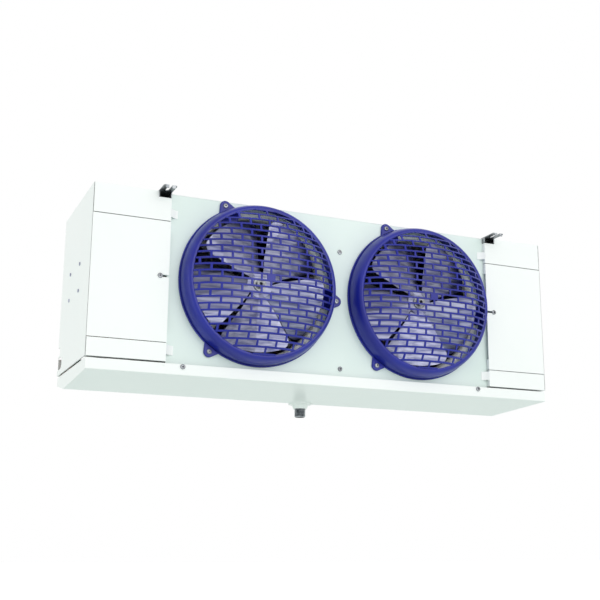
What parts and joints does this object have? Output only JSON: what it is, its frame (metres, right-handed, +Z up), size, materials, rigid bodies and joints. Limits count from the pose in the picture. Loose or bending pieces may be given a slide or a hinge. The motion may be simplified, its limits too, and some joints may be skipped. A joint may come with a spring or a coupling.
{
  "type": "walk-in unit cooler",
  "caption": "Low-profile ceiling-hung cold-room evaporator with domed fan guards, sliding end covers, hinged drain pan and hanger rails.",
  "frame": {"origin": "middle of the four hanger holes, on top of the hanger rails", "axes": "+X along the cooler to the right seen from the fan side, +Y from the fan side to the coil side, +Z up"},
  "size_m": [1.1246, 0.4166, 0.4404],
  "materials": {
    "white_enamel": "smooth white baked enamel on aluminium sheet",
    "galvanised_steel": "galvanised sheet",
    "copper": "drawn copper tube",
    "mill_aluminium": "mill finish",
    "fin_aluminium": "pressed fin stock",
    "zinc_plated_steel": "zinc plated",
    "blue_guard_plastic": "moulded dark blue plastic",
    "black_motor_enamel": "black enamel",
    "terminal_plastic": "moulded"
  },
  "bodies": {
    "root": {"base_rail_left": "white_enamel", "base_rail_right": "white_enamel", "coil_core": "fin_aluminium", "cover_screws": "zinc_plated_steel", "distributor": "copper", "end_plate_left": "galvanised_steel", "end_plate_right": "galvanised_steel", "end_roof_left": "white_enamel", "end_roof_right": "white_enamel", "fan_divider": "white_enamel", "fan_panel": "white_enamel", "guard_left": "blue_guard_plastic", "guard_right": "blue_guard_plastic", "guard_screws": "zinc_plated_steel", "hanger_rail_left": "galvanised_steel", "hanger_rail_right": "galvanised_steel", "junction_box": "galvanised_steel", "motor_bracket_left": "galvanised_steel", "motor_bracket_right": "galvanised_steel", "motor_left": "black_motor_enamel", "motor_right": "black_motor_enamel", "orifice_left": "white_enamel", "orifice_right": "white_enamel", "pan_hinge_fixed": "white_enamel", "pan_hinge_pins": "zinc_plated_steel", "panel_screws": "zinc_plated_steel", "rear_rail": "white_enamel", "return_bends_left": "copper", "return_bends_right": "copper", "roof_panel": "white_enamel", "suction_header": "copper", "terminal_block": "terminal_plastic"},
    "fan_left": {"motor_shaft_left": "zinc_plated_steel", "fan_hub_left": "zinc_plated_steel", "fan_blades_left": "mill_aluminium"},
    "fan_right": {"motor_shaft_right": "zinc_plated_steel", "fan_hub_right": "zinc_plated_steel", "fan_blades_right": "mill_aluminium"},
    "cover_left": {"end_cover_left": "white_enamel", "cover_rivets_left": "mill_aluminium"},
    "cover_right": {"end_cover_right": "white_enamel", "cover_rivets_right": "mill_aluminium"},
    "pan": {"drain_pan": "white_enamel", "pan_front": "white_enamel", "pan_rear": "white_enamel", "pan_end_left": "white_enamel", "pan_end_right": "white_enamel", "drain_collar": "white_enamel", "drain_fitting": "zinc_plated_steel", "pan_screws": "zinc_plated_steel", "pan_hinge_moving": "white_enamel"}
  },
  "joints": [
    {"name": "fan_left_spin", "type": "hinge", "parent": "root", "child": "fan_left", "pos_m": [-0.193, -0.142, -0.1855], "axis": [0, -1, 0], "continuous": true},
    {"name": "fan_right_spin", "type": "hinge", "parent": "root", "child": "fan_right", "pos_m": [0.207, -0.142, -0.1855], "axis": [0, -1, 0], "continuous": true},
    {"name": "cover_left_slide", "type": "slide", "parent": "root", "child": "cover_left", "axis": [-1, 0, 0], "range_m": [0, 0.17]},
    {"name": "cover_right_slide", "type": "slide", "parent": "root", "child": "cover_right", "axis": [1, 0, 0], "range_m": [0, 0.162]},
    {"name": "pan_drop", "type": "hinge", "parent": "root", "child": "pan", "pos_m": [0, 0.1563, -0.371], "axis": [1, 0, 0], "range_deg": [0, 75]}
  ]
}
